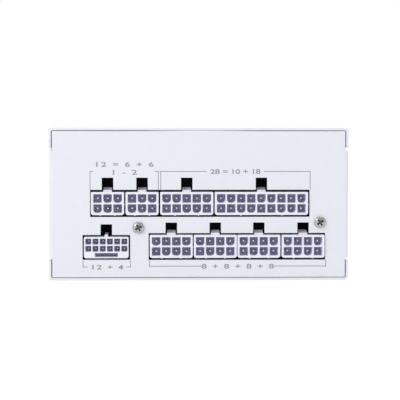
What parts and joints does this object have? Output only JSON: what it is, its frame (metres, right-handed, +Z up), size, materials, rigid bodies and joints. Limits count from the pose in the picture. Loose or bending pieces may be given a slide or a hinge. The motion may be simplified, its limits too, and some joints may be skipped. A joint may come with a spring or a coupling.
{
  "type": "power supply unit",
  "caption": "Small-form-factor modular computer power supply: white steel case, keyed power headers on one face, mains inlet and rocker switch on the other, top fan.",
  "frame": {"origin": "bottom centre of the whole unit's box, on the plane it stands on", "axes": "+X right as seen from the connector face, +Y from the connector face to the mains face, +Z up to the fan side"},
  "size_m": [0.125, 0.1063, 0.0635],
  "materials": {
    "white_powder_coat": "fine white powder coat, satin",
    "header_plastic": "off-white moulded nylon, satin",
    "black_plastic": "black moulded plastic, fine texture",
    "board_laminate": "solder-masked glass laminate",
    "nickel_steel": "nickel-plated steel",
    "guard_wire": "white coated steel wire",
    "brass": "plain brass",
    "aluminium": "extruded, clear finish",
    "copper": "enamelled or tinned copper",
    "ferrite": "sintered ferrite",
    "winding_tape": "yellow polyester tape",
    "film_case": "moulded yellow case",
    "capacitor_sleeve": "shrink sleeve",
    "epoxy": "moulded epoxy",
    "insulation_film": "translucent polyester film",
    "ceramic": "glazed ceramic tube",
    "brown_wire": "PVC insulation",
    "blue_wire": "PVC insulation"
  },
  "bodies": {
    "chassis": {"top_cover": "white_powder_coat", "bottom_tray": "white_powder_coat", "front_panel": "white_powder_coat", "peripheral_header_1": "header_plastic", "peripheral_header_2": "header_plastic", "atx_header_10pin": "header_plastic", "atx_header_18pin": "header_plastic", "cpu_pcie_header_1": "header_plastic", "cpu_pcie_header_2": "header_plastic", "cpu_pcie_header_3": "header_plastic", "cpu_pcie_header_4": "header_plastic", "gpu_header_16pin": "header_plastic", "modular_board": "board_laminate", "main_board": "board_laminate", "modular_standoff_1": "brass", "modular_standoff_2": "brass", "inlet_live_blade": "brass", "inlet_neutral_blade": "brass", "inlet_earth_blade": "brass", "face_screw_1": "nickel_steel", "face_screw_2": "nickel_steel", "board_screw_1": "nickel_steel", "board_screw_2": "nickel_steel", "board_screw_3": "nickel_steel", "board_screw_4": "nickel_steel", "case_screw_1": "white_powder_coat", "case_screw_2": "white_powder_coat", "case_screw_3": "white_powder_coat", "case_screw_4": "white_powder_coat", "fan_screw_1": "black_plastic", "fan_screw_2": "black_plastic", "fan_screw_3": "black_plastic", "fan_screw_4": "black_plastic", "fan_frame": "black_plastic", "ac_inlet": "black_plastic", "switch_bezel": "black_plastic", "fan_lead": "black_plastic", "fan_guard": "guard_wire", "fan_stator": "copper", "common_mode_choke": "copper", "pfc_choke": "copper", "bus_bar_12v": "copper", "bus_bar_ground": "copper", "insulation_sheet": "insulation_film", "x_capacitor": "film_case", "fuse": "ceramic", "primary_heatsink": "aluminium", "secondary_heatsink": "aluminium", "bridge_rectifier": "epoxy", "bulk_capacitor": "capacitor_sleeve", "output_capacitor_1": "capacitor_sleeve", "output_capacitor_2": "capacitor_sleeve", "main_transformer_core": "ferrite", "main_transformer_winding": "winding_tape", "standby_transformer": "winding_tape", "live_wire": "brown_wire", "neutral_wire": "blue_wire"},
    "fan_wheel": {"fan_rotor": "black_plastic", "fan_shaft": "nickel_steel"},
    "power_rocker": {"switch_rocker": "black_plastic"}
  },
  "joints": [
    {"name": "fan_spin", "type": "hinge", "parent": "chassis", "child": "fan_wheel", "pos_m": [0, -0.00145, 0.0453], "axis": [0, 0, 1], "continuous": true},
    {"name": "rocker_tilt", "type": "hinge", "parent": "chassis", "child": "power_rocker", "pos_m": [0.0135, 0.04765, 0.024], "axis": [1, 0, 0], "range_deg": [0, 16]}
  ]
}
